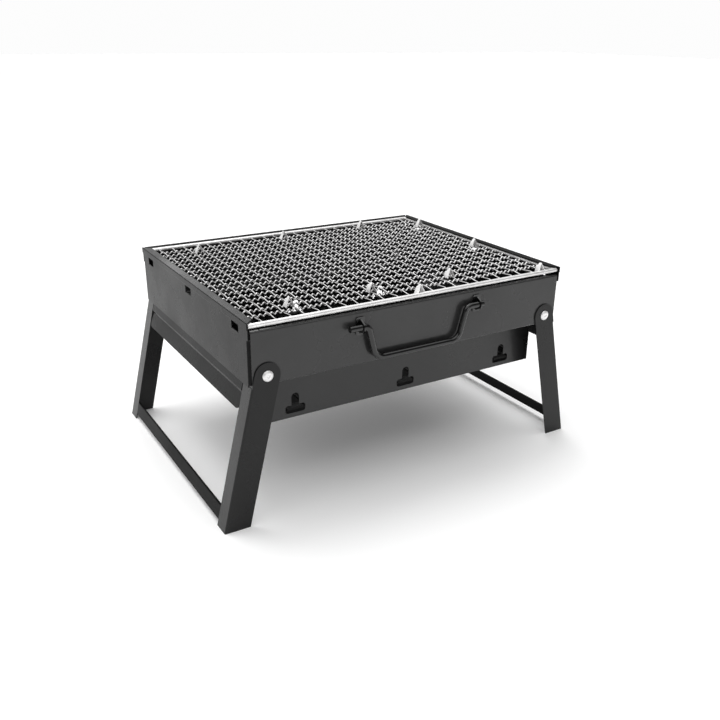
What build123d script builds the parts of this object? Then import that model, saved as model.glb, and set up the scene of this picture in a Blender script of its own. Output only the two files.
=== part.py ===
from build123d import *
import os
from math import cos, radians, sin

# Folding charcoal camp grill: a sheet-steel body with raised ends, a hanging firebox with
# T-shaped air slots, two folding leg frames, a bail handle and a woven cooking grate that slides
# out over the lower front panel, under the flanges of the ends.
#
# Frame: X along the length, Y from the front (handle side) to the back, Z up.
# Origin: on the ground, under the middle of the outline of everything, handle included.
# Millimetres throughout.

os.makedirs("parts", exist_ok=True)

# ---------------------------------------------------------------- driving dimensions
SHEET = 0.8                    # body and firebox sheet
LEG_SHEET = 1.0                # leg sheet
BEND = 1.3                     # centre-line radius of a sheet bend

BODY_LENGTH = 350.0            # over the bands along the ends' top edges
BODY_DEPTH = 279.0             # front panel to back panel
TOP_Z = 194.0                  # top of the raised ends and of the back
BODY_HEIGHT = 58.5             # height of an end panel
FRONT_DROP = 8.2               # how far the front panel stops below the ends
HEM_BULGE = 0.6                # the band along an end's top edge stands this far proud
HEM_HEIGHT = 6.0
TOP_FLANGE = 7.6               # inward flange along the top of an end
CORNER_FLANGE = 9.0            # end panel flange tucked behind a long panel
CORNER_DROP = 15.5             # how far the corner flanges stop below the top

PIVOT_X = 158.0                # leg pivots
PIVOT_Z = 144.5
LEG_SPLAY = 13.4               # degrees from vertical when open
LEG_HALF_WIDTH = 12.2
LEG_RETURN = 18.0              # depth of the leg's side flange
LEG_GAP = 0.3                  # between a leg and the long panel
PIN_CLEARANCE = 0.05           # radial running clearance of every pivot
RIVET_SHANK_RADIUS = 3.0
RIVET_HEAD_RADIUS = 5.0
RIVET_HEAD_HEIGHT = 2.0

FIREBOX_LENGTH = 320.0
FIREBOX_DEPTH = 238.0
FIREBOX_BOTTOM = 87.5
FIREBOX_RIM = 10.0             # width of the rim that hangs on the body's lip
FIREBOX_FIT = 1.0              # gap between the firebox and the lip's inner edge
VENT_PITCH = 121.6

GRATE_Z = 190.2                # middle plane of the cooking grate
GRATE_HALF_LENGTH = 169.6      # to the middle of a side rod
GRATE_HALF_DEPTH = 136.0
GRATE_ROD_END = 173.0          # the front and back rods run out past the side rods
GRATE_ROD_RADIUS = 2.2
WIRE_RADIUS = 1.0
WIRE_PITCH = 13.7
CROSS_WIRES = 24               # from front to back
LONG_WIRES = 18                # from end to end

HANDLE_ROD_RADIUS = 3.0
HANDLE_Z = 173.0               # handle pivot height
HANDLE_STANDOFF = 5.0          # pivot axis in front of the front panel
HANDLE_SHIFT = -4.5            # the bail sits this far along in its side play
HANDLE_DROP = 32.0
BRACKET_X = 66.0
BRACKET_NOSE = 4.5

# ---------------------------------------------------------------- worked-out sizes
BODY_BOTTOM = TOP_Z - BODY_HEIGHT
FRONT_TOP = TOP_Z - FRONT_DROP
END_FACE = BODY_LENGTH / 2 - HEM_BULGE

# The handle reaches further out in front than the rivets do behind, so the body's own
# middle plane is set back until the whole outline is centred on the origin.
FRONT_REACH = HANDLE_STANDOFF + BRACKET_NOSE
RIVET_BASE = LEG_GAP + LEG_SHEET + 0.1
BACK_REACH = RIVET_BASE + RIVET_HEAD_HEIGHT
MID_Y = (FRONT_REACH - BACK_REACH) / 2
HALF_DEPTH = BODY_DEPTH / 2
FRONT_Y = MID_Y - HALF_DEPTH
BACK_Y = MID_Y + HALF_DEPTH

BODY_MIDDLE = Plane.XZ.offset(-MID_Y)          # faces the front
LIP_DEPTH = HALF_DEPTH - FIREBOX_DEPTH / 2 - FIREBOX_FIT
SPLAY = radians(LEG_SPLAY)
LEG_DOWN = (sin(SPLAY), 0, -cos(SPLAY))        # right leg, from the pivot to the foot
LEG_OUT = (cos(SPLAY), 0, sin(SPLAY))          # right leg, across it, away from the body
LEG_REACH = 170.0                              # longer than the leg; the ground trims it


def save(piece, label):
    """Name a finished piece and write it."""
    piece.part.label = label
    export_step(piece.part, f"parts/{label}.step")


def save_mirrored(piece, label, plane):
    """Write the mirror image of a finished piece."""
    with BuildPart() as copy:
        mirror(piece.part, about=plane)
    save(copy, label)


# ---------------------------------------------------------------- body: long panels
def long_panel(top, folded):
    """Front-facing panel with the inward lip that holds the firebox; its top may be folded."""
    middle = SHEET / 2
    with BuildPart() as panel:
        with BuildSketch(Plane.YZ):
            with BuildLine():
                FilletPolyline(
                    *([(FRONT_Y + 4.0, top - middle)] if folded else []),
                    (FRONT_Y + middle, top - middle if folded else top),
                    (FRONT_Y + middle, BODY_BOTTOM + middle),
                    (FRONT_Y + LIP_DEPTH, BODY_BOTTOM + middle),
                    radius=BEND,
                )
            trace(line_width=SHEET)
        extrude(amount=END_FACE - 2.4, both=True)
        with BuildSketch(Plane.XZ.offset(-FRONT_Y)):
            with Locations((-PIVOT_X, PIVOT_Z), (PIVOT_X, PIVOT_Z)):
                Circle(RIVET_SHANK_RADIUS + PIN_CLEARANCE)
        extrude(amount=4 * SHEET, both=True, mode=Mode.SUBTRACT)
    return panel


MIDDLE_PLANE = Plane(origin=(0, MID_Y, 0), z_dir=(0, 1, 0))
save(long_panel(FRONT_TOP, True), "front_panel")
save_mirrored(long_panel(TOP_Z, False), "back_panel", MIDDLE_PLANE)

# ---------------------------------------------------------------- body: end panels
SUPPORT_POSITIONS = (-113.0, 0.0, 113.0)       # lanced grate supports along an end
SUPPORT_WIDTH = 15.0
SUPPORT_TOP = GRATE_Z - GRATE_ROD_RADIUS
SUPPORT_INNER = GRATE_HALF_LENGTH - 1.6
LANCE_HEIGHT = 7.4

with BuildPart() as right_end_panel:
    corner_y = HALF_DEPTH - 1.5 * SHEET
    flange_bottom = BODY_BOTTOM + 2.5 * SHEET
    corner_top = TOP_Z - CORNER_DROP
    with BuildSketch(Plane.XY.offset(flange_bottom)):
        with BuildLine():
            FilletPolyline(
                (END_FACE - CORNER_FLANGE, MID_Y - corner_y),
                (END_FACE - SHEET / 2, MID_Y - corner_y),
                (END_FACE - SHEET / 2, MID_Y + corner_y),
                (END_FACE - CORNER_FLANGE, MID_Y + corner_y),
                radius=2.0,
            )
        trace(line_width=SHEET)
    extrude(amount=corner_top - flange_bottom)
    # The face runs down past the corner flanges, and up above them to a free edge.
    with BuildSketch(Plane.XY.offset(BODY_BOTTOM)):
        with Locations((END_FACE, MID_Y)):
            Rectangle(SHEET, 2 * corner_y - 4.0, align=(Align.MAX, Align.CENTER))
    extrude(amount=flange_bottom - BODY_BOTTOM)
    with BuildSketch(Plane.XY.offset(corner_top)):
        with Locations((END_FACE, MID_Y)):
            Rectangle(SHEET, BODY_DEPTH - 0.2, align=(Align.MAX, Align.CENTER))
    extrude(amount=TOP_Z - 1.5 - corner_top)
    # Band along the top edge, and the inward flange that covers the grate's side rod.
    with BuildSketch(BODY_MIDDLE) as hem_section:
        with Locations((END_FACE - SHEET, TOP_Z)):
            Rectangle(SHEET + HEM_BULGE, HEM_HEIGHT, align=(Align.MIN, Align.MAX))
        fillet(hem_section.vertices(), 0.6)
    extrude(amount=HALF_DEPTH - 0.1, both=True)
    with BuildSketch(Plane.XY.offset(TOP_Z - SHEET)) as top_flange:
        with Locations((END_FACE - SHEET / 2, MID_Y)):
            Rectangle(
                TOP_FLANGE - SHEET / 2,
                BODY_DEPTH - 3 * SHEET,
                align=(Align.MAX, Align.CENTER),
            )
        chamfer(top_flange.vertices().group_by(Axis.X)[0], TOP_FLANGE - SHEET)
    extrude(amount=SHEET)
    # Inward lip along the bottom edge.
    with BuildSketch(Plane.XY.offset(BODY_BOTTOM)):
        with Locations((END_FACE, MID_Y)):
            Rectangle(
                END_FACE - FIREBOX_LENGTH / 2 - FIREBOX_FIT,
                2 * (HALF_DEPTH - LIP_DEPTH) - 0.4,
                align=(Align.MAX, Align.CENTER),
            )
    extrude(amount=SHEET)
    # Grate supports lanced out of the wall and bent inwards, with the slots they leave.
    with BuildSketch(Plane.YZ.offset(END_FACE)):
        with Locations(*[(MID_Y + y, SUPPORT_TOP - SHEET) for y in SUPPORT_POSITIONS]):
            Rectangle(SUPPORT_WIDTH, LANCE_HEIGHT, align=(Align.CENTER, Align.MAX))
    extrude(amount=2 * SHEET, both=True, mode=Mode.SUBTRACT)
    with BuildSketch(Plane.XY.offset(SUPPORT_TOP - SHEET)):
        with Locations(*[(END_FACE - SHEET / 2, MID_Y + y) for y in SUPPORT_POSITIONS]):
            Rectangle(
                END_FACE - SHEET / 2 - SUPPORT_INNER,
                SUPPORT_WIDTH - 0.6,
                align=(Align.MAX, Align.CENTER),
            )
    extrude(amount=SHEET)

save(right_end_panel, "right_end_panel")
save_mirrored(right_end_panel, "left_end_panel", Plane.YZ)

# ---------------------------------------------------------------- body: end aprons
# A shield under each end, hung from the lip and sloped to lie flush with the open legs.
APRON_LENGTH = 2 * (HALF_DEPTH + LEG_GAP + LEG_SHEET - LEG_RETURN) - 3.0
APRON_CORNER = 5.0
APRON_DOWN = 39.0                              # lower edge, measured along the leg


def along_leg(down, out):
    """X and Z of a point on the right leg, from its pivot."""
    return (
        PIVOT_X + down * LEG_DOWN[0] + out * LEG_OUT[0],
        PIVOT_Z + down * LEG_DOWN[2] + out * LEG_OUT[2],
    )


with BuildPart() as right_end_apron:
    face = LEG_HALF_WIDTH - SHEET / 2
    with BuildSketch(BODY_MIDDLE):
        with BuildLine():
            FilletPolyline(
                (PIVOT_X + 5.0, BODY_BOTTOM - SHEET / 2),
                (PIVOT_X + 14.6, BODY_BOTTOM - SHEET / 2),
                along_leg(20.5, face),
                along_leg(23.0, face - 1.2),
                along_leg(APRON_DOWN, face),
                radius=0.9,
            )
        trace(line_width=SHEET)
    extrude(amount=APRON_LENGTH / 2, both=True)
    corner_edges = (
        right_end_apron.edges()
        .filter_by(GeomType.LINE)
        .filter_by(lambda e: e.length < 1.2 * SHEET)
        .group_by(Axis.Z)[0]
    )
    fillet(corner_edges, APRON_CORNER)

save(right_end_apron, "right_end_apron")
save_mirrored(right_end_apron, "left_end_apron", Plane.YZ)

# ---------------------------------------------------------------- legs
LEG_PLATE_TOP = 12.7                           # the side flange starts just under the body
LEG_OUTER_Y = FRONT_Y - LEG_GAP - LEG_SHEET

with BuildPart() as right_front_leg:
    # Flat eye around the rivet.
    with BuildSketch(Plane(origin=(PIVOT_X, LEG_OUTER_Y, PIVOT_Z), x_dir=LEG_DOWN, z_dir=(0, -1, 0))):
        Circle(LEG_HALF_WIDTH)
        Rectangle(LEG_PLATE_TOP, 2 * LEG_HALF_WIDTH, align=(Align.MIN, Align.CENTER))
    extrude(amount=-LEG_SHEET)
    # Angle section down to the ground.
    flange_start = Plane(
        origin=(
            PIVOT_X + LEG_PLATE_TOP * LEG_DOWN[0],
            LEG_OUTER_Y,
            PIVOT_Z + LEG_PLATE_TOP * LEG_DOWN[2],
        ),
        x_dir=LEG_OUT,
        z_dir=LEG_DOWN,
    )
    with BuildSketch(flange_start):
        with BuildLine():
            FilletPolyline(
                (-LEG_HALF_WIDTH, -LEG_SHEET / 2),
                (LEG_HALF_WIDTH - LEG_SHEET / 2, -LEG_SHEET / 2),
                (LEG_HALF_WIDTH - LEG_SHEET / 2, -LEG_RETURN),
                radius=BEND,
            )
        trace(line_width=LEG_SHEET)
    extrude(amount=LEG_REACH - LEG_PLATE_TOP)
    with BuildSketch(Plane(origin=(PIVOT_X, LEG_OUTER_Y, PIVOT_Z), z_dir=(0, -1, 0))):
        Circle(RIVET_SHANK_RADIUS + PIN_CLEARANCE)
    extrude(amount=2 * LEG_SHEET, both=True, mode=Mode.SUBTRACT)
    # The foot is cut level with the ground.
    split(bisect_by=Plane.XY, keep=Keep.TOP)

save(right_front_leg, "right_front_leg")
save_mirrored(right_front_leg, "left_front_leg", Plane.YZ)
with BuildPart() as right_back_leg:
    mirror(right_front_leg.part, about=MIDDLE_PLANE)
save(right_back_leg, "right_back_leg")
save_mirrored(right_back_leg, "left_back_leg", Plane.YZ)

# Crossbar between the two side flanges of a leg frame, with a small folded lip on top.
BAR_TOP = 131.3
BAR_BOTTOM = 145.5
BAR_LIP = 1.6
BAR_LENGTH = 2 * (HALF_DEPTH + LEG_GAP + LEG_SHEET - LEG_RETURN)

with BuildPart() as right_crossbar:
    bar_face = LEG_HALF_WIDTH - LEG_SHEET / 2
    with BuildSketch(BODY_MIDDLE):
        with BuildLine():
            FilletPolyline(
                along_leg(BAR_TOP + LEG_SHEET / 2, LEG_HALF_WIDTH - BAR_LIP),
                along_leg(BAR_TOP + LEG_SHEET / 2, bar_face),
                along_leg(BAR_BOTTOM, bar_face),
                radius=0.6,
            )
        trace(line_width=LEG_SHEET)
    extrude(amount=BAR_LENGTH / 2, both=True)

save(right_crossbar, "right_crossbar")
save_mirrored(right_crossbar, "left_crossbar", Plane.YZ)


# ---------------------------------------------------------------- pivot rivets and washers
def pivot_axis_plane(x, y, outward):
    """Plane through a pivot axis: local X is the radius, local Y points away from the body."""
    return Plane(origin=(x, y, PIVOT_Z), x_dir=(1, 0, 0), z_dir=(0, 0, outward))


WASHER = 1.0
TAIL = 1.2

for side_name, side in (("right", 1), ("left", -1)):
    for end_name, panel_y, outward in (("front", FRONT_Y, -1), ("back", BACK_Y, 1)):
        with BuildPart() as rivet:
            with BuildSketch(pivot_axis_plane(side * PIVOT_X, panel_y, outward)):
                with BuildLine():
                    Polyline(
                        (0, RIVET_BASE + 1.2),
                        (0, -SHEET - WASHER - TAIL),
                        (4.4, -SHEET - WASHER - TAIL),
                        (4.4, -SHEET - WASHER),
                        (RIVET_SHANK_RADIUS, -SHEET - WASHER),
                        (RIVET_SHANK_RADIUS, RIVET_BASE),
                        (RIVET_HEAD_RADIUS, RIVET_BASE),
                        (RIVET_HEAD_RADIUS, RIVET_BASE + 0.6),
                    )
                    ThreePointArc(
                        (RIVET_HEAD_RADIUS, RIVET_BASE + 0.6),
                        (3.9, RIVET_BASE + 1.6),
                        (2.4, RIVET_BASE + RIVET_HEAD_HEIGHT),
                    )
                    # Shallow dimple left by the setting tool.
                    Line(
                        (2.4, RIVET_BASE + RIVET_HEAD_HEIGHT),
                        (1.6, RIVET_BASE + RIVET_HEAD_HEIGHT),
                    )
                    Line((1.6, RIVET_BASE + RIVET_HEAD_HEIGHT), (0.9, RIVET_BASE + 1.2))
                    Line((0.9, RIVET_BASE + 1.2), (0, RIVET_BASE + 1.2))
                make_face()
            revolve(axis=Axis((side * PIVOT_X, panel_y, PIVOT_Z), (0, 1, 0)))
        save(rivet, f"{side_name}_{end_name}_pivot_rivet")

with BuildPart() as pivot_washers:
    for panel_y, inward in ((FRONT_Y + SHEET, 1), (BACK_Y - SHEET, -1)):
        with BuildSketch(Plane(origin=(0, panel_y, 0), x_dir=(1, 0, 0), z_dir=(0, inward, 0))):
            with Locations((-PIVOT_X, -inward * PIVOT_Z), (PIVOT_X, -inward * PIVOT_Z)):
                Circle(6.0)
                Circle(RIVET_SHANK_RADIUS + PIN_CLEARANCE, mode=Mode.SUBTRACT)
        extrude(amount=WASHER)

save(pivot_washers, "pivot_washers")

# ---------------------------------------------------------------- firebox
VENT_SLOT_WIDTH = 7.8
VENT_TOP = 111.6
VENT_BAR_TOP = 99.7
VENT_BAR_BOTTOM = 91.9
VENT_BAR_WIDTH = 20.2
RIM_Z = BODY_BOTTOM + SHEET
half_firebox = FIREBOX_DEPTH / 2

with BuildPart() as firebox_front_wall:
    with BuildSketch(Plane.YZ):
        with BuildLine():
            FilletPolyline(
                (MID_Y - half_firebox - FIREBOX_RIM, RIM_Z + SHEET / 2),
                (MID_Y - half_firebox + SHEET / 2, RIM_Z + SHEET / 2),
                (MID_Y - half_firebox + SHEET / 2, FIREBOX_BOTTOM),
                radius=BEND,
            )
        trace(line_width=SHEET)
    extrude(amount=FIREBOX_LENGTH / 2, both=True)
    # Three inverted-T air slots, each with a rounded top.
    with BuildSketch(Plane.XZ.offset(half_firebox - MID_Y)):
        with Locations(*[(k * VENT_PITCH, 0) for k in (-1, 0, 1)]):
            with Locations((0, (VENT_BAR_TOP + VENT_BAR_BOTTOM) / 2)):
                RectangleRounded(VENT_BAR_WIDTH, VENT_BAR_TOP - VENT_BAR_BOTTOM, 2.4)
            with Locations((0, VENT_BAR_TOP - 2.0)):
                Rectangle(
                    VENT_SLOT_WIDTH,
                    VENT_TOP - VENT_SLOT_WIDTH / 2 - VENT_BAR_TOP + 2.0,
                    align=(Align.CENTER, Align.MIN),
                )
            with Locations((0, VENT_TOP - VENT_SLOT_WIDTH / 2)):
                Circle(VENT_SLOT_WIDTH / 2)
    extrude(amount=2 * SHEET, both=True, mode=Mode.SUBTRACT)

save(firebox_front_wall, "firebox_front_wall")
save_mirrored(firebox_front_wall, "firebox_back_wall", MIDDLE_PLANE)

with BuildPart() as firebox_right_wall:
    half_length = FIREBOX_LENGTH / 2
    with BuildSketch(BODY_MIDDLE):
        with BuildLine():
            FilletPolyline(
                (half_length + 7.0, RIM_Z + SHEET / 2),
                (half_length - SHEET / 2, RIM_Z + SHEET / 2),
                (half_length - SHEET / 2, FIREBOX_BOTTOM),
                radius=BEND,
            )
        trace(line_width=SHEET)
    extrude(amount=half_firebox - SHEET, both=True)

save(firebox_right_wall, "firebox_right_wall")
save_mirrored(firebox_right_wall, "firebox_left_wall", Plane.YZ)

with BuildPart() as firebox_floor:
    with BuildSketch(Plane.XY.offset(FIREBOX_BOTTOM)):
        with Locations((0, MID_Y)):
            Rectangle(FIREBOX_LENGTH - 2 * SHEET, FIREBOX_DEPTH - 2 * SHEET)
    extrude(amount=SHEET)

save(firebox_floor, "firebox_floor")

# ---------------------------------------------------------------- charcoal grate
EMBER_Z = 96.1                                 # middle of the frame rod
EMBER_ROD = 1.5
EMBER_BAR = 1.2
EMBER_FOOT = 1.1
EMBER_PITCH = 14.0
EMBER_HALF_LENGTH = 150.0
EMBER_HALF_DEPTH = 112.0
EMBER_TAB_WIDTH = 17.0
EMBER_TAB_THICKNESS = 2.2


def rod_loop(half_length, half_depth, z, corner):
    """Round-cornered rectangle about the body's middle, for a frame rod."""
    return FilletPolyline(
        (half_length, MID_Y - half_depth, z),
        (half_length, MID_Y + half_depth, z),
        (-half_length, MID_Y + half_depth, z),
        (-half_length, MID_Y - half_depth, z),
        radius=corner,
        close=True,
    )


with BuildPart() as charcoal_grate_frame:
    with BuildLine():
        ember_path = rod_loop(EMBER_HALF_LENGTH, EMBER_HALF_DEPTH, EMBER_Z, 8.0)
    with BuildSketch(Plane(origin=ember_path @ 0, z_dir=ember_path % 0)):
        Circle(EMBER_ROD)
    sweep()
    # Tabs that hook into the air slots.
    tab_depth = half_firebox - EMBER_HALF_DEPTH
    with BuildSketch(Plane.XY.offset(EMBER_Z - EMBER_TAB_THICKNESS / 2)):
        for end in (-1, 1):
            with Locations(
                *[(k * VENT_PITCH, MID_Y + end * (half_firebox - tab_depth / 2 - 0.1)) for k in (-1, 0, 1)]
            ):
                Rectangle(EMBER_TAB_WIDTH, tab_depth)
    extrude(amount=EMBER_TAB_THICKNESS)
    # Feet on the firebox floor.
    foot_z = FIREBOX_BOTTOM + SHEET
    with BuildSketch(Plane.XY.offset(foot_z)):
        for end in (-1, 1):
            with Locations(*[(x, MID_Y + end * EMBER_HALF_DEPTH) for x in (-60.8, 60.8)]):
                Circle(EMBER_FOOT)
    extrude(amount=EMBER_Z - foot_z)

save(charcoal_grate_frame, "charcoal_grate_frame")

with BuildPart() as charcoal_grate_bars:
    bar_count = 2 * int((EMBER_HALF_LENGTH - 6.0) / EMBER_PITCH) + 1
    with BuildSketch(BODY_MIDDLE):
        with Locations((0, EMBER_Z + EMBER_ROD + EMBER_BAR)):
            with GridLocations(EMBER_PITCH, 1, bar_count, 1):
                Circle(EMBER_BAR)
    extrude(amount=EMBER_HALF_DEPTH + EMBER_ROD, both=True)

save(charcoal_grate_bars, "charcoal_grate_bars")

# ---------------------------------------------------------------- cooking grate
with BuildPart() as cooking_grate_frame:
    # Side rods, butted against the front and back rods.
    with BuildSketch(BODY_MIDDLE):
        with Locations((-GRATE_HALF_LENGTH, GRATE_Z), (GRATE_HALF_LENGTH, GRATE_Z)):
            Circle(GRATE_ROD_RADIUS)
    extrude(amount=GRATE_HALF_DEPTH, both=True)
    with BuildSketch(Plane.YZ):
        with Locations(*[(MID_Y + end * GRATE_HALF_DEPTH, GRATE_Z) for end in (-1, 1)]):
            Circle(GRATE_ROD_RADIUS)
    extrude(amount=GRATE_ROD_END, both=True)
    rod_ends = cooking_grate_frame.edges().filter_by(GeomType.CIRCLE)
    fillet(rod_ends.group_by(Axis.X)[0] + rod_ends.group_by(Axis.X)[-1], 0.6)

save(cooking_grate_frame, "cooking_grate_frame")

WIRE_EMBED = 1.2                               # weld of a wire end into the frame rod

with BuildPart() as cooking_grate_cross_wires:
    with BuildSketch(BODY_MIDDLE):
        with Locations((0, GRATE_Z - WIRE_RADIUS)):
            with GridLocations(WIRE_PITCH, 1, CROSS_WIRES, 1):
                Circle(WIRE_RADIUS)
    extrude(amount=GRATE_HALF_DEPTH - GRATE_ROD_RADIUS + WIRE_EMBED, both=True)

save(cooking_grate_cross_wires, "cooking_grate_cross_wires")

with BuildPart() as cooking_grate_long_wires:
    with BuildSketch(Plane.YZ):
        with Locations((MID_Y, GRATE_Z + WIRE_RADIUS)):
            with GridLocations(WIRE_PITCH, 1, LONG_WIRES, 1):
                Circle(WIRE_RADIUS)
    extrude(amount=GRATE_HALF_LENGTH - GRATE_ROD_RADIUS + WIRE_EMBED, both=True)

save(cooking_grate_long_wires, "cooking_grate_long_wires")

# Folded sheet clips standing on the long wires and on the front rod.
# Their places are counted in wire pitches from the middle of the grate.
CLIP_PLACES = (
    (-9.0, 7.5), (-1.2, 8.3), (6.6, 8.5), (11.6, 6.5), (11.5, -1.5),
    (11.2, -9.7), (4.4, -7.5), (0.2, -9.7), (-2.4, -7.7), (-8.7, -7.7),
)
CLIP_HALF_LENGTH = 4.6
CLIP_HALF_WIDTH = 3.6
CLIP_RISE = 7.4

with BuildPart() as cooking_grate_clips:
    clip_base = GRATE_Z + 2 * WIRE_RADIUS
    for column, row in CLIP_PLACES:
        with BuildSketch(Plane.XZ.offset(-(MID_Y + row * WIRE_PITCH))):
            with BuildLine():
                FilletPolyline(
                    ((column * WIRE_PITCH) - CLIP_HALF_LENGTH, clip_base),
                    ((column * WIRE_PITCH) - 1.4, clip_base + CLIP_RISE),
                    ((column * WIRE_PITCH) + 1.4, clip_base + CLIP_RISE),
                    ((column * WIRE_PITCH) + CLIP_HALF_LENGTH, clip_base),
                    radius=0.8,
                )
            trace(line_width=SHEET)
        extrude(amount=CLIP_HALF_WIDTH, both=True)

save(cooking_grate_clips, "cooking_grate_clips")

# ---------------------------------------------------------------- bail handle
HANDLE_Y = FRONT_Y - HANDLE_STANDOFF
HANDLE_HALF_WIDTH = 75.0
HANDLE_SHOULDER = 55.5
HANDLE_GRIP = 47.0
HANDLE_BEND = 6.5
GRIP_BEND = 11.0

with BuildPart() as handle:
    with BuildLine(Plane.XZ.offset(-HANDLE_Y)):
        bail = FilletPolyline(
            (HANDLE_SHIFT - HANDLE_HALF_WIDTH, HANDLE_Z),
            (HANDLE_SHIFT - HANDLE_SHOULDER, HANDLE_Z),
            (HANDLE_SHIFT - HANDLE_GRIP, HANDLE_Z - HANDLE_DROP),
            (HANDLE_SHIFT + HANDLE_GRIP, HANDLE_Z - HANDLE_DROP),
            (HANDLE_SHIFT + HANDLE_SHOULDER, HANDLE_Z),
            (HANDLE_SHIFT + HANDLE_HALF_WIDTH, HANDLE_Z),
            radius=(HANDLE_BEND, GRIP_BEND, GRIP_BEND, HANDLE_BEND),
        )
    with BuildSketch(Plane(origin=bail @ 0, z_dir=bail % 0)):
        Circle(HANDLE_ROD_RADIUS)
    sweep()

save(handle, "handle")

BRACKET_SHEET = 1.5
BRACKET_HALF_HEIGHT = 8.5


def handle_bracket(x, label):
    """Welded foot plate with a rounded ear that carries the handle rod."""
    with BuildPart() as bracket:
        with BuildSketch(Plane.XZ.offset(-FRONT_Y)):
            with Locations((x, HANDLE_Z)):
                RectangleRounded(9.0, 2 * BRACKET_HALF_HEIGHT, 1.5)
        extrude(amount=1.0)
        with BuildSketch(Plane.YZ.offset(x - BRACKET_SHEET / 2)):
            with Locations((HANDLE_Y, HANDLE_Z)):
                Circle(BRACKET_NOSE)
            with Locations((FRONT_Y - 0.5, HANDLE_Z)):
                Rectangle(1.0, 2 * BRACKET_HALF_HEIGHT - 3.0)
            make_hull()
            with Locations((HANDLE_Y, HANDLE_Z)):
                Circle(HANDLE_ROD_RADIUS + PIN_CLEARANCE, mode=Mode.SUBTRACT)
        extrude(amount=BRACKET_SHEET)
        with BuildSketch(Plane.YZ.offset(x - 10.0)):
            with Locations((HANDLE_Y, HANDLE_Z)):
                Circle(HANDLE_ROD_RADIUS + PIN_CLEARANCE)
        extrude(amount=20.0, mode=Mode.SUBTRACT)
    save(bracket, label)


handle_bracket(-BRACKET_X, "left_handle_bracket")
handle_bracket(BRACKET_X, "right_handle_bracket")
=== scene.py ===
"""Folding charcoal camp grill: the looks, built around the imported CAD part."""

import math
import random

import bpy
from mathutils import Matrix, Vector


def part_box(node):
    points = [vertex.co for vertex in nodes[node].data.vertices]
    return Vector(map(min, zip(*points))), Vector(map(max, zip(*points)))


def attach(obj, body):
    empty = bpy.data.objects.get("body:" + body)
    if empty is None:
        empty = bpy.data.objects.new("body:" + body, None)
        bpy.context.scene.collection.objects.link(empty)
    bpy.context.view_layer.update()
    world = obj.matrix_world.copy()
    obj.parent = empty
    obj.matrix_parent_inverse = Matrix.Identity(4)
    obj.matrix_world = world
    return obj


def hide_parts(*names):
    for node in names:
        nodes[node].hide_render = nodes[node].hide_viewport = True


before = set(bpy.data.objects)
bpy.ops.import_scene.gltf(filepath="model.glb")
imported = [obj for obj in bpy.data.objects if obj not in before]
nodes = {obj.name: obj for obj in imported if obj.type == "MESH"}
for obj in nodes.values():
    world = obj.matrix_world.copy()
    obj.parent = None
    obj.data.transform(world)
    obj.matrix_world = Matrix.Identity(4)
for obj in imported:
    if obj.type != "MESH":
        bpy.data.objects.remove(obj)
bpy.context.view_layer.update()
MM = 0.001
random.seed(34)

# ------------------------------------------------------------------ places read from the frame
MID_Y = (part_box("front_panel")[0].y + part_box("back_panel")[1].y) / 2
grate_low, grate_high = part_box("cooking_grate_frame")
GRATE_Z = (grate_low.z + grate_high.z) / 2
cross_low, cross_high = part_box("cooking_grate_cross_wires")
long_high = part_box("cooking_grate_long_wires")[1]
CLIP_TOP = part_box("cooking_grate_clips")[1].z


# ------------------------------------------------------------------ shader helpers
def new_material(name):
    """An empty node material with its Principled shader."""
    material = bpy.data.materials.new(name)
    material.use_nodes = True
    tree = material.node_tree
    shader = next(n for n in tree.nodes if n.type == "BSDF_PRINCIPLED")
    return material, tree, shader


def object_coords(tree, scale=(1, 1, 1)):
    """Object coordinates in metres, stretched by scale."""
    coords = tree.nodes.new("ShaderNodeTexCoord")
    mapping = tree.nodes.new("ShaderNodeMapping")
    mapping.inputs["Scale"].default_value = scale
    tree.links.new(coords.outputs["Object"], mapping.inputs["Vector"])
    return mapping.outputs["Vector"]


def noise(tree, vector, scale, detail, rough=0.5):
    """Noise from 0 to 1, mostly near the middle."""
    node = tree.nodes.new("ShaderNodeTexNoise")
    node.inputs["Scale"].default_value = scale
    node.inputs["Detail"].default_value = detail
    node.inputs["Roughness"].default_value = rough
    tree.links.new(vector, node.inputs["Vector"])
    return node.outputs["Fac"]


def ramp(tree, fac, stops):
    """A colour ramp through (position, colour) stops."""
    node = tree.nodes.new("ShaderNodeValToRGB")
    elements = node.color_ramp.elements
    while len(elements) < len(stops):
        elements.new(0.5)
    for element, (position, colour) in zip(elements, stops):
        element.position = position
        element.color = (*colour, 1.0)
    tree.links.new(fac, node.inputs["Fac"])
    return node.outputs["Color"]


def spread(tree, fac, low, high):
    """Noise spread over low to high."""
    node = tree.nodes.new("ShaderNodeMapRange")
    node.inputs["From Min"].default_value = 0.3
    node.inputs["From Max"].default_value = 0.7
    node.inputs["To Min"].default_value = low
    node.inputs["To Max"].default_value = high
    tree.links.new(fac, node.inputs["Value"])
    return node.outputs["Result"]


def bump(tree, shader, height, strength, distance):
    """Relief on the shader, at most distance metres high."""
    node = tree.nodes.new("ShaderNodeBump")
    node.inputs["Strength"].default_value = strength
    node.inputs["Distance"].default_value = distance
    tree.links.new(height, node.inputs["Height"])
    tree.links.new(node.outputs["Normal"], shader.inputs["Normal"])


def grey(value, warmth=0.0):
    """A grey, a little redder with warmth."""
    return (value * (1 + warmth), value, value * (1 - warmth * 0.5))


# ------------------------------------------------------------------ materials
COAT_SHARE = 0.4                     # strength of the clear top layer, as a share of the gloss
COAT_ROUGHNESS = 0.10
DUST_TONE = 2.4                      # brightness of a dust speck, in times the enamel's
PEEL_HEIGHT = 0.4 * MM
GRAIN_HEIGHT = 0.3 * MM


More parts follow.
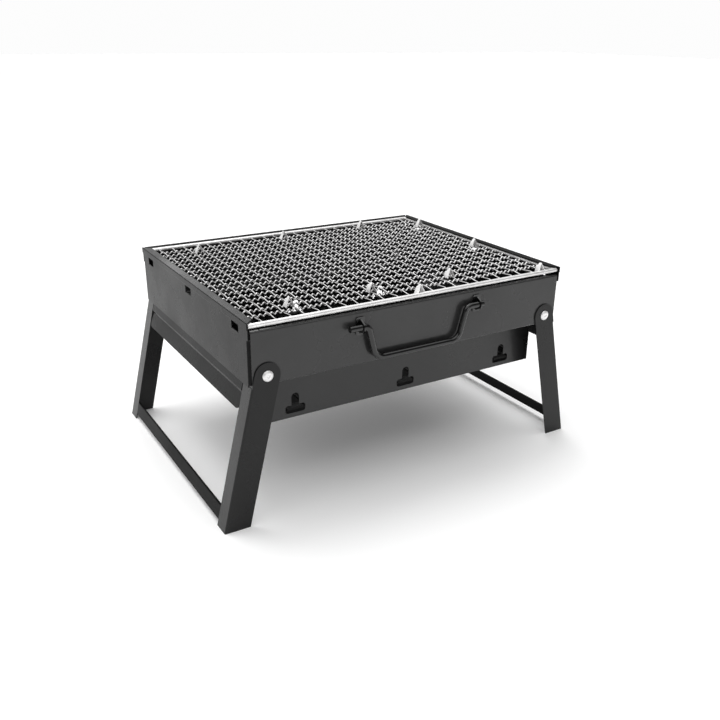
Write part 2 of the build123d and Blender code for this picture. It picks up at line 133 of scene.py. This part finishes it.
def enamel(name, colour, rough, gloss=0.4, peel=0.12, dust=0.35):
    """Baked black enamel on sheet steel: orange peel, faint handling marks and a little dust."""
    material, tree, shader = new_material(name)
    coords = object_coords(tree)
    mottle = noise(tree, coords, scale=26.0, detail=4.0)
    tint = ramp(tree, mottle, [(0.25, grey(colour * 0.86)), (0.75, grey(colour * 1.12))])
    specks = noise(tree, coords, scale=900.0, detail=2.0, rough=0.7)
    speck_mask = ramp(tree, specks, [(0.70, grey(0.0)), (0.78, grey(dust))])
    mix = tree.nodes.new("ShaderNodeMix")
    mix.data_type = "RGBA"
    mix.inputs["B"].default_value = (*grey(colour * DUST_TONE), 1.0)
    tree.links.new(speck_mask, mix.inputs["Factor"])
    tree.links.new(tint, mix.inputs["A"])
    tree.links.new(mix.outputs["Result"], shader.inputs["Base Color"])
    smudge = noise(tree, coords, scale=14.0, detail=5.0, rough=0.6)
    tree.links.new(spread(tree, smudge, rough - 0.05, rough + 0.12), shader.inputs["Roughness"])
    shader.inputs["Specular IOR Level"].default_value = gloss
    shader.inputs["Coat Weight"].default_value = gloss * COAT_SHARE
    shader.inputs["Coat Roughness"].default_value = COAT_ROUGHNESS
    pits = noise(tree, coords, scale=420.0, detail=2.0, rough=0.4)
    bump(tree, shader, pits, peel, PEEL_HEIGHT)
    return material


def plated(name, colour, rough, grain=300, metal=1.0):
    """Bright plated steel with a fine grain and slightly dull patches."""
    material, tree, shader = new_material(name)
    dull = noise(tree, object_coords(tree), scale=60.0, detail=4.0, rough=0.6)
    tint = ramp(tree, dull, [(0.3, grey(colour * 0.80, 0.01)), (0.65, grey(colour, 0.005))])
    tree.links.new(tint, shader.inputs["Base Color"])
    fine = noise(tree, object_coords(tree, (grain, grain, grain)), scale=1.0, detail=3.0, rough=0.6)
    tree.links.new(spread(tree, fine, rough - 0.06, rough + 0.12), shader.inputs["Roughness"])
    shader.inputs["Metallic"].default_value = metal
    bump(tree, shader, fine, 0.12, GRAIN_HEIGHT)
    return material


# One black enamel, in a copy for each part. The base colours differ, from the lighter front and back
# panels to the darker ends, aprons, legs and crossbars. This is painted light and painted shade for how
# the light falls on each part, not a difference in the paint.
BODY = enamel("black_enamel_body_painted_lighter", 0.028, 0.22, gloss=0.36)
END = enamel("black_enamel_ends_painted_darker", 0.006, 0.26, gloss=0.07)
APRON = enamel("black_enamel_aprons_painted_darker", 0.003, 0.26, gloss=0.07)
LEG = enamel("black_enamel_legs_painted_darker", 0.007, 0.26, gloss=0.24)
CROSSBAR = enamel("black_enamel_crossbars_painted_darker", 0.002, 0.30, gloss=0.04)
FIREBOX = enamel("black_enamel_firebox", 0.012, 0.28, gloss=0.40)
# The firebox floor's near-black base colour is painted shade for the hollow under the grates; its dull
# finish is its own.
FIREBOX_FLOOR_SHADE = enamel("dull_black_firebox_floor_painted_shade", 0.0015, 0.6, gloss=0.08, peel=0.3, dust=0.5)
HANDLE = enamel("gloss_black_handle", 0.003, 0.10, gloss=0.5, peel=0.05, dust=0.15)
BRACKET = enamel("gloss_black_bracket", 0.004, 0.12, gloss=0.6, peel=0.06, dust=0.3)
EMBER = enamel("matt_black_charcoal_grate", 0.003, 0.5, gloss=0.12, peel=0.3, dust=0.6)
LONG_WIRE = plated("plated_wire", 0.74, 0.32)
CROSS_WIRE = plated("plated_straight_wire", 0.66, 0.36)
ROD = plated("plated_rod", 0.92, 0.34, metal=0.6)
RIVET = plated("bright_zinc_rivet", 0.95, 0.34, grain=900, metal=0.5)
# The clips are given a pure white, non-metal colour. This is partly the bright steel's own tone and
# partly a painted highlight for the glints the clips catch.
CLIP = plated("bright_clip_steel_and_painted_glint", 1.0, 0.36, grain=500, metal=0.0)

NODE_MATERIALS = {
    BODY: ["front_panel", "back_panel"],
    END: ["left_end_panel", "right_end_panel"],
    APRON: ["left_end_apron", "right_end_apron"],
    LEG: ["left_front_leg", "left_back_leg", "right_front_leg", "right_back_leg"],
    CROSSBAR: ["left_crossbar", "right_crossbar"],
    FIREBOX: ["firebox_front_wall", "firebox_back_wall", "firebox_left_wall", "firebox_right_wall"],
    FIREBOX_FLOOR_SHADE: ["firebox_floor"],
    EMBER: ["charcoal_grate_frame", "charcoal_grate_bars"],
    HANDLE: ["handle"],
    BRACKET: ["left_handle_bracket", "right_handle_bracket"],
    ROD: ["cooking_grate_frame"],
    RIVET: [
        "left_front_pivot_rivet", "left_back_pivot_rivet",
        "right_front_pivot_rivet", "right_back_pivot_rivet", "pivot_washers",
    ],
}
for material, names in NODE_MATERIALS.items():
    for node_name in names:
        for slot in nodes[node_name].material_slots:
            slot.material = material


# ------------------------------------------------------------------ mesh helpers
def mesh_object(name, vertices, faces, material, smooth=True):
    """A piece from vertices in metres."""
    mesh = bpy.data.meshes.new(name)
    mesh.from_pydata([tuple(v) for v in vertices], [], faces)
    mesh.validate()
    mesh.polygons.foreach_set("use_smooth", [smooth] * len(mesh.polygons))
    mesh.materials.append(material)
    mesh.update()
    piece = bpy.data.objects.new(name, mesh)
    bpy.context.scene.collection.objects.link(piece)
    return piece


UP = Vector((0, 0, 1))
TUBE_SIDES = 8


def tube(vertices, faces, path, radius):
    """Adds a round tube along a path that bends only up and down."""
    start = len(vertices)
    last = len(path) - 1
    for i, point in enumerate(path):
        ahead = path[min(i + 1, last)] - path[max(i - 1, 0)]
        ahead.normalize()
        side = ahead.cross(UP).normalized()
        over = side.cross(ahead)
        for k in range(TUBE_SIDES):
            angle = 2 * math.pi * k / TUBE_SIDES
            vertices.append(point + side * (radius * math.cos(angle)) + over * (radius * math.sin(angle)))
    for i in range(last):
        for k in range(TUBE_SIDES):
            a = start + i * TUBE_SIDES + k
            b = start + i * TUBE_SIDES + (k + 1) % TUBE_SIDES
            faces.append((a, b, b + TUBE_SIDES, a + TUBE_SIDES))
    faces.append(tuple(start + k for k in reversed(range(TUBE_SIDES))))
    faces.append(tuple(start + last * TUBE_SIDES + k for k in range(TUBE_SIDES)))


# ------------------------------------------------------------------ woven cooking grate
CROSS_WIRES = 24                     # from front to back
LONG_WIRES = 18                      # from end to end
CAD_WIRE = cross_high.z - cross_low.z
PITCH = (cross_high.x - cross_low.x - CAD_WIRE) / (CROSS_WIRES - 1)
# Half waves from crossing to crossing, height of the wave, and wire radius. Both counts are odd, so
# the weave alternates, and the heights are just enough for the two sets to clear each other.
ZIGZAG = (5, 1.12 * MM, 0.78 * MM)   # long wires
SWAY = (1, 0.54 * MM, 0.62 * MM)     # cross wires
STEPS = 6                            # points in a half wave of the zigzag
FLAT_END = 5 * MM                    # the wave dies out over this length at each end
END_GAP = 0.2 * MM                   # a wire stops at least this far inside its CAD wire's end


def woven_wires(name, count, reach, along_x, wave, material, replaced):
    """One set of the weave: crimped wires side by side, running out flat to the frame rod."""
    vertices, faces = [], []
    half_waves, height, radius = wave
    step = PITCH / ZIGZAG[0] / STEPS
    points = int(reach / step)
    for i in range(count):
        across = (i - (count - 1) / 2) * PITCH
        turn = (-1) ** i
        path = []
        for j in range(-points, points + 1):
            run = j * step
            fade = min(1.0, max(0.0, (reach - abs(run)) / FLAT_END))
            z = GRATE_Z + fade * turn * height * math.sin(math.pi * half_waves * run / PITCH)
            if along_x:
                path.append(Vector((run, MID_Y + across, z)))
            else:
                path.append(Vector((across, MID_Y + run, z)))
        tube(vertices, faces, path, radius)
    piece = mesh_object(name, vertices, faces, material)
    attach(piece, "cooking_grate")
    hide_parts(replaced)


woven_wires(
    "woven_long_wires", LONG_WIRES, long_high.x - END_GAP, True, ZIGZAG, LONG_WIRE,
    "cooking_grate_long_wires",
)
woven_wires(
    "woven_cross_wires", CROSS_WIRES, cross_high.y - MID_Y - END_GAP, False, SWAY, CROSS_WIRE,
    "cooking_grate_cross_wires",
)

# ------------------------------------------------------------------ folded clips
# Places in wire pitches from the middle of the grate, to the right and to the back.
CLIP_PLACES = (
    (-9.0, 7.5), (-1.2, 8.3), (6.6, 8.5), (11.6, 6.5), (11.5, -1.5),
    (11.2, -9.7), (4.4, -7.5), (0.2, -9.7), (-2.4, -7.7), (-8.7, -7.7),
)
CLIP_BASE = GRATE_Z + 0.8 * MM
# The lengths below are in millimetres, and a clip is made in them before it is put in its place.
CLIP_SHEET = 0.7
CLIP_HALF_RUN = 4.2
FOOT_HALF_WIDTH = 3.5
RIDGE_HALF_WIDTH = 1.5
LIP_DROP = 1.2                       # lip turned down at each foot
LIP_START = 0.85                     # where the lip starts, from 0 at the ridge to 1 at a foot's end
CREASE = 0.35                        # raised middle of the feet
ARCH = 1.15                          # 1 is a straight-sided fold, 2 a round one
SHEET_TILT = 0.8                     # how far the sheet's thickness leans at the feet
STATIONS = 15                        # rows of points from foot to foot
COLUMNS = (-1.0, -0.5, 0.0, 0.5, 1.0)


def clip(vertices, faces, x, y, size, lean):
    """A strip of sheet folded over a wire, wide at its feet and narrowing to a pointed ridge."""
    height = (CLIP_TOP - CLIP_BASE) / MM * size
    start = len(vertices)
    last_row = STATIONS - 1
    last = len(COLUMNS) - 1
    for depth in (0.0, CLIP_SHEET):
        for row in range(STATIONS):
            u = -1 + 2 * row / last_row
            rise = 1 - abs(u) ** ARCH
            half = FOOT_HALF_WIDTH - (FOOT_HALF_WIDTH - RIDGE_HALF_WIDTH) * rise
            lip = LIP_DROP * max(0.0, abs(u) - LIP_START) / (1 - LIP_START)
            inward = Vector((u * SHEET_TILT, 0, 1)).normalized() * depth
            for w in COLUMNS:
                crease = CREASE * (1 - abs(w)) * (1 - rise)
                along = CLIP_HALF_RUN * u + lean * rise * (1 - rise)
                point = Vector((along, w * half, height * rise - lip + crease))
                vertices.append(Vector((x, y, CLIP_BASE)) + (point - inward) * MM)

    def at(layer, row, column):
        return start + (layer * STATIONS + row) * len(COLUMNS) + column

    for p in range(last_row):
        for w in range(last):
            faces.append((at(0, p, w), at(0, p + 1, w), at(0, p + 1, w + 1), at(0, p, w + 1)))
            faces.append((at(1, p, w), at(1, p, w + 1), at(1, p + 1, w + 1), at(1, p + 1, w)))
        faces.append((at(0, p, 0), at(1, p, 0), at(1, p + 1, 0), at(0, p + 1, 0)))
        faces.append((at(0, p, last), at(0, p + 1, last), at(1, p + 1, last), at(1, p, last)))
    for w in range(last):
        faces.append((at(0, 0, w), at(0, 0, w + 1), at(1, 0, w + 1), at(1, 0, w)))
        faces.append((
            at(0, last_row, w), at(1, last_row, w), at(1, last_row, w + 1), at(0, last_row, w + 1),
        ))


clip_vertices, clip_faces = [], []
for column, row in CLIP_PLACES:
    clip(
        clip_vertices, clip_faces, column * PITCH, MID_Y + row * PITCH,
        random.uniform(0.92, 0.99), random.uniform(-3.0, 3.0),
    )
clips = mesh_object("folded_clips", clip_vertices, clip_faces, CLIP, smooth=False)
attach(clips, "cooking_grate")
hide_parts("cooking_grate_clips")

# ------------------------------------------------------------------ floor
FLOOR_HALF = 12.0
floor_mesh = bpy.data.meshes.new("floor")
floor_corners = [(x * FLOOR_HALF, y * FLOOR_HALF, 0) for x, y in ((-1, -1), (1, -1), (1, 1), (-1, 1))]
floor_mesh.from_pydata(floor_corners, [], [(0, 1, 2, 3)])
floor = bpy.data.objects.new("floor", floor_mesh)
bpy.context.scene.collection.objects.link(floor)
floor_material, _, floor_shader = new_material("pale_floor")
floor_shader.inputs["Base Color"].default_value = (0.93, 0.93, 0.93, 1)
floor_shader.inputs["Roughness"].default_value = 0.7
floor_shader.inputs["Specular IOR Level"].default_value = 0.0
floor_shader.inputs["Emission Color"].default_value = (1, 1, 1, 1)
floor_shader.inputs["Emission Strength"].default_value = 0.10
floor_mesh.materials.append(floor_material)

# ------------------------------------------------------------------ studio
# The camera sees a plain white backdrop. The grill is lit by, and reflects, a grey room: its
# brightness goes by a direction's height, from 0 at the horizon to 1 overhead.
ROOM_STOPS = [
    (0.0, grey(0.42)), (0.22, grey(0.36)), (0.34, grey(0.06)), (0.5, grey(0.05)), (1.0, grey(0.6)),
]
world = bpy.data.worlds.new("studio")
bpy.context.scene.world = world
world.use_nodes = True
sky = world.node_tree
backdrop = sky.nodes["Background"]
backdrop.inputs["Color"].default_value = (1, 1, 1, 1)
backdrop.inputs["Strength"].default_value = 0.98
room = sky.nodes.new("ShaderNodeBackground")
room.inputs["Strength"].default_value = 1.0
direction = sky.nodes.new("ShaderNodeTexCoord")
direction_parts = sky.nodes.new("ShaderNodeSeparateXYZ")
sky.links.new(direction.outputs["Generated"], direction_parts.inputs["Vector"])
sky.links.new(ramp(sky, direction_parts.outputs["Z"], ROOM_STOPS), room.inputs["Color"])
rays = sky.nodes.new("ShaderNodeLightPath")
seen = sky.nodes.new("ShaderNodeMixShader")
sky.links.new(rays.outputs["Is Camera Ray"], seen.inputs["Fac"])
sky.links.new(room.outputs["Background"], seen.inputs[1])
sky.links.new(backdrop.outputs["Background"], seen.inputs[2])
sky.links.new(seen.outputs["Shader"], sky.nodes["World Output"].inputs["Surface"])

# A very wide sun, for even light from above, standing a little behind the grill and to its left.
sun = bpy.data.lights.new("soft_sun", "SUN")
sun.energy = 2.2
sun.angle = math.radians(110)
sun_lamp = bpy.data.objects.new("soft_sun", sun)
sun_lamp.rotation_euler = (math.radians(-12), math.radians(-10), 0)
bpy.context.scene.collection.objects.link(sun_lamp)


def softbox(name, place, target, width, height, power):
    """A rectangular area light aimed at a point."""
    light = bpy.data.lights.new(name, "AREA")
    light.shape = "RECTANGLE"
    light.size = width
    light.size_y = height
    light.energy = power
    lamp = bpy.data.objects.new(name, light)
    lamp.location = place
    lamp.rotation_euler = (Vector(target) - Vector(place)).to_track_quat("-Z", "Y").to_euler()
    bpy.context.scene.collection.objects.link(lamp)


softbox("front_fill", (0.2, -1.9, 0.5), (0, 0, 0.12), width=0.7, height=0.5, power=3)
softbox("overhead", (-0.1, 0.5, 1.6), (0, 0, 0.19), width=1.2, height=0.8, power=10)
softbox("back_strip", (0.47, 1.8, 0.8), (-0.17, 0, 0.19), width=0.45, height=0.45, power=1.6)

# ------------------------------------------------------------------ camera
CAMERA_PLACE = Vector((-0.4162, MID_Y - 0.7090, 0.4193))
CAMERA_YAW = 0.552
CAMERA_PITCH = 0.396
CAMERA_ROLL = 0.014
FOCAL_PIXELS = 797.6
IMAGE_PIXELS = 720
SENSOR = 36.0
forward = Vector((
    math.sin(CAMERA_YAW) * math.cos(CAMERA_PITCH),
    math.cos(CAMERA_YAW) * math.cos(CAMERA_PITCH),
    -math.sin(CAMERA_PITCH),
))
level = Vector((math.cos(CAMERA_YAW), -math.sin(CAMERA_YAW), 0))
upright = level.cross(forward)
right = level * math.cos(CAMERA_ROLL) + upright * math.sin(CAMERA_ROLL)
above = upright * math.cos(CAMERA_ROLL) - level * math.sin(CAMERA_ROLL)
camera_data = bpy.data.cameras.new("camera")
camera_data.sensor_width = SENSOR
camera_data.lens = FOCAL_PIXELS / IMAGE_PIXELS * SENSOR
camera = bpy.data.objects.new("camera", camera_data)
bpy.context.scene.collection.objects.link(camera)
basis = Matrix((right, above, -forward)).transposed().to_4x4()
camera.matrix_world = Matrix.Translation(CAMERA_PLACE) @ basis
bpy.context.scene.camera = camera
bpy.context.scene.view_settings.view_transform = "Standard"
